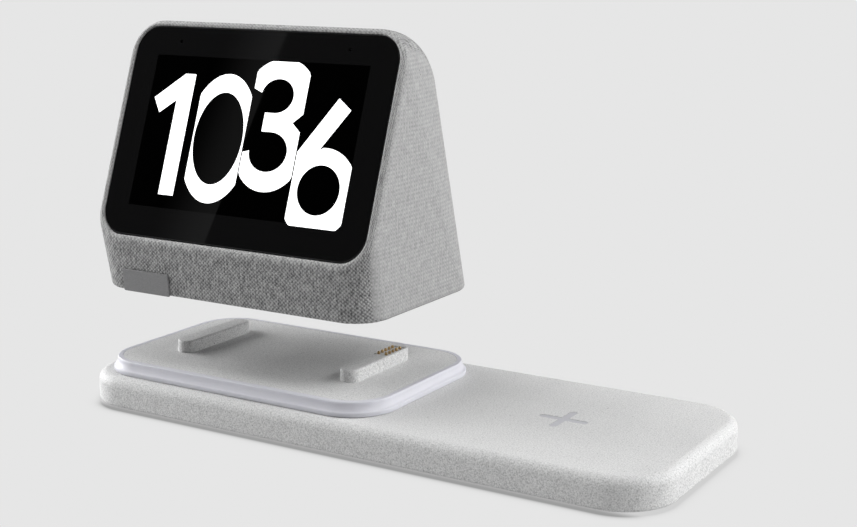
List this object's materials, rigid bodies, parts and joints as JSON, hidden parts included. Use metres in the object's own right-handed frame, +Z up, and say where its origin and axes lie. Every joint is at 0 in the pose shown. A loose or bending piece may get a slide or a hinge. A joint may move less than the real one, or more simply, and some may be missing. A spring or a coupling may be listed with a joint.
{
  "type": "smart display",
  "caption": "Fabric-wrapped wedge-shaped clock display hovering over a long charging dock with a light ring, locating tabs, spring contacts and a flat phone charging pad.",
  "frame": {"origin": "centre of the dock's footprint, on the table", "axes": "+X along the dock from the display's seat to the phone pad, +Y to the back, +Z up"},
  "size_m": [0.2164, 0.0816, 0.131],
  "materials": {
    "speckled_plastic": "light grey with fine dark specks",
    "frosted_diffuser": "translucent, satin",
    "heather_fabric": "heather grey knit",
    "tag_weave": "flat grey woven label, blank",
    "black_glass": "polished black",
    "screen": "lit panel with white numerals",
    "dark_plastic": "satin",
    "grey_plastic": "satin",
    "rubber": "matt",
    "circuit_board": "solder mask",
    "steel": "plain",
    "aluminium": "plain",
    "copper": "lacquered copper winding",
    "gold_plating": "gold plated",
    "ferrite": "sintered ferrite",
    "cone_paper": "coated paper"
  },
  "bodies": {
    "dock": {"dock_top_shell": "speckled_plastic", "light_ring": "frosted_diffuser", "seat_plate": "speckled_plastic", "pin_block": "speckled_plastic", "light_board": "circuit_board", "dock_base": "speckled_plastic", "dock_foot_pad": "rubber", "dock_board": "circuit_board", "usb_port": "steel", "usb_tongue": "dark_plastic", "dock_power_jack": "dark_plastic", "charging_coil": "copper", "coil_shield": "ferrite", "charge_mark": "frosted_diffuser", "dock_screw_1": "steel", "dock_screw_2": "steel", "dock_screw_3": "steel", "dock_screw_4": "steel"},
    "display": {"fabric_wrap": "heather_fabric", "inner_housing": "grey_plastic", "cover_glass": "black_glass", "panel_frame": "dark_plastic", "display_panel": "screen", "backlight_tray": "steel", "heat_spreader": "aluminium", "processor_shield": "steel", "main_board": "circuit_board", "microphone_left": "steel", "microphone_right": "steel", "wifi_antenna": "copper", "key_board": "circuit_board", "speaker_enclosure": "dark_plastic", "speaker_basket": "steel", "speaker_cone": "cone_paper", "speaker_surround": "rubber", "speaker_magnet": "ferrite", "rear_port_plate": "grey_plastic", "display_power_jack": "dark_plastic", "mute_switch": "steel", "fabric_tag": "tag_weave", "base_cover": "grey_plastic", "foot_ring": "rubber", "contact_board": "circuit_board", "cover_screw_1": "steel", "cover_screw_2": "steel", "cover_screw_3": "steel", "cover_screw_4": "steel"},
    "volume_down": {"volume_down_key": "grey_plastic"},
    "volume_up": {"volume_up_key": "grey_plastic"},
    "mute": {"mute_slider": "dark_plastic"},
    "contact_pin_1": {"contact_pin_1": "gold_plating"},
    "contact_pin_2": {"contact_pin_2": "gold_plating"},
    "contact_pin_3": {"contact_pin_3": "gold_plating"},
    "contact_pin_4": {"contact_pin_4": "gold_plating"},
    "contact_pin_5": {"contact_pin_5": "gold_plating"},
    "contact_pin_6": {"contact_pin_6": "gold_plating"},
    "contact_pin_7": {"contact_pin_7": "gold_plating"},
    "contact_pin_8": {"contact_pin_8": "gold_plating"},
    "contact_pin_9": {"contact_pin_9": "gold_plating"},
    "contact_pin_10": {"contact_pin_10": "gold_plating"}
  },
  "joints": [
    {"name": "display_lift", "type": "slide", "parent": "dock", "child": "display", "axis": [0, 0, 1], "range_m": [-0.0222, 0.03]},
    {"name": "volume_down_press", "type": "slide", "parent": "display", "child": "volume_down", "axis": [0, -0.4384, -0.8988], "range_m": [0, 0.0006], "stiffness_N_per_m": 1500},
    {"name": "volume_up_press", "type": "slide", "parent": "display", "child": "volume_up", "axis": [0, -0.4384, -0.8988], "range_m": [0, 0.0006], "stiffness_N_per_m": 1500},
    {"name": "mute_slide", "type": "slide", "parent": "display", "child": "mute", "axis": [-1, 0, 0], "range_m": [0, 0.003]},
    {"name": "contact_pin_1_press", "type": "slide", "parent": "dock", "child": "contact_pin_1", "axis": [0, 0, -1], "range_m": [0, 0.0007], "stiffness_N_per_m": 1000},
    {"name": "contact_pin_2_press", "type": "slide", "parent": "dock", "child": "contact_pin_2", "axis": [0, 0, -1], "range_m": [0, 0.0007], "stiffness_N_per_m": 1000},
    {"name": "contact_pin_3_press", "type": "slide", "parent": "dock", "child": "contact_pin_3", "axis": [0, 0, -1], "range_m": [0, 0.0007], "stiffness_N_per_m": 1000},
    {"name": "contact_pin_4_press", "type": "slide", "parent": "dock", "child": "contact_pin_4", "axis": [0, 0, -1], "range_m": [0, 0.0007], "stiffness_N_per_m": 1000},
    {"name": "contact_pin_5_press", "type": "slide", "parent": "dock", "child": "contact_pin_5", "axis": [0, 0, -1], "range_m": [0, 0.0007], "stiffness_N_per_m": 1000},
    {"name": "contact_pin_6_press", "type": "slide", "parent": "dock", "child": "contact_pin_6", "axis": [0, 0, -1], "range_m": [0, 0.0007], "stiffness_N_per_m": 1000},
    {"name": "contact_pin_7_press", "type": "slide", "parent": "dock", "child": "contact_pin_7", "axis": [0, 0, -1], "range_m": [0, 0.0007], "stiffness_N_per_m": 1000},
    {"name": "contact_pin_8_press", "type": "slide", "parent": "dock", "child": "contact_pin_8", "axis": [0, 0, -1], "range_m": [0, 0.0007], "stiffness_N_per_m": 1000},
    {"name": "contact_pin_9_press", "type": "slide", "parent": "dock", "child": "contact_pin_9", "axis": [0, 0, -1], "range_m": [0, 0.0007], "stiffness_N_per_m": 1000},
    {"name": "contact_pin_10_press", "type": "slide", "parent": "dock", "child": "contact_pin_10", "axis": [0, 0, -1], "range_m": [0, 0.0007], "stiffness_N_per_m": 1000}
  ],
  "couplings": [
    {"joint": "contact_pin_2_press", "follows": "contact_pin_1_press", "ratio": 1},
    {"joint": "contact_pin_3_press", "follows": "contact_pin_1_press", "ratio": 1},
    {"joint": "contact_pin_4_press", "follows": "contact_pin_1_press", "ratio": 1},
    {"joint": "contact_pin_5_press", "follows": "contact_pin_1_press", "ratio": 1},
    {"joint": "contact_pin_6_press", "follows": "contact_pin_1_press", "ratio": 1},
    {"joint": "contact_pin_7_press", "follows": "contact_pin_1_press", "ratio": 1},
    {"joint": "contact_pin_8_press", "follows": "contact_pin_1_press", "ratio": 1},
    {"joint": "contact_pin_9_press", "follows": "contact_pin_1_press", "ratio": 1},
    {"joint": "contact_pin_10_press", "follows": "contact_pin_1_press", "ratio": 1}
  ]
}
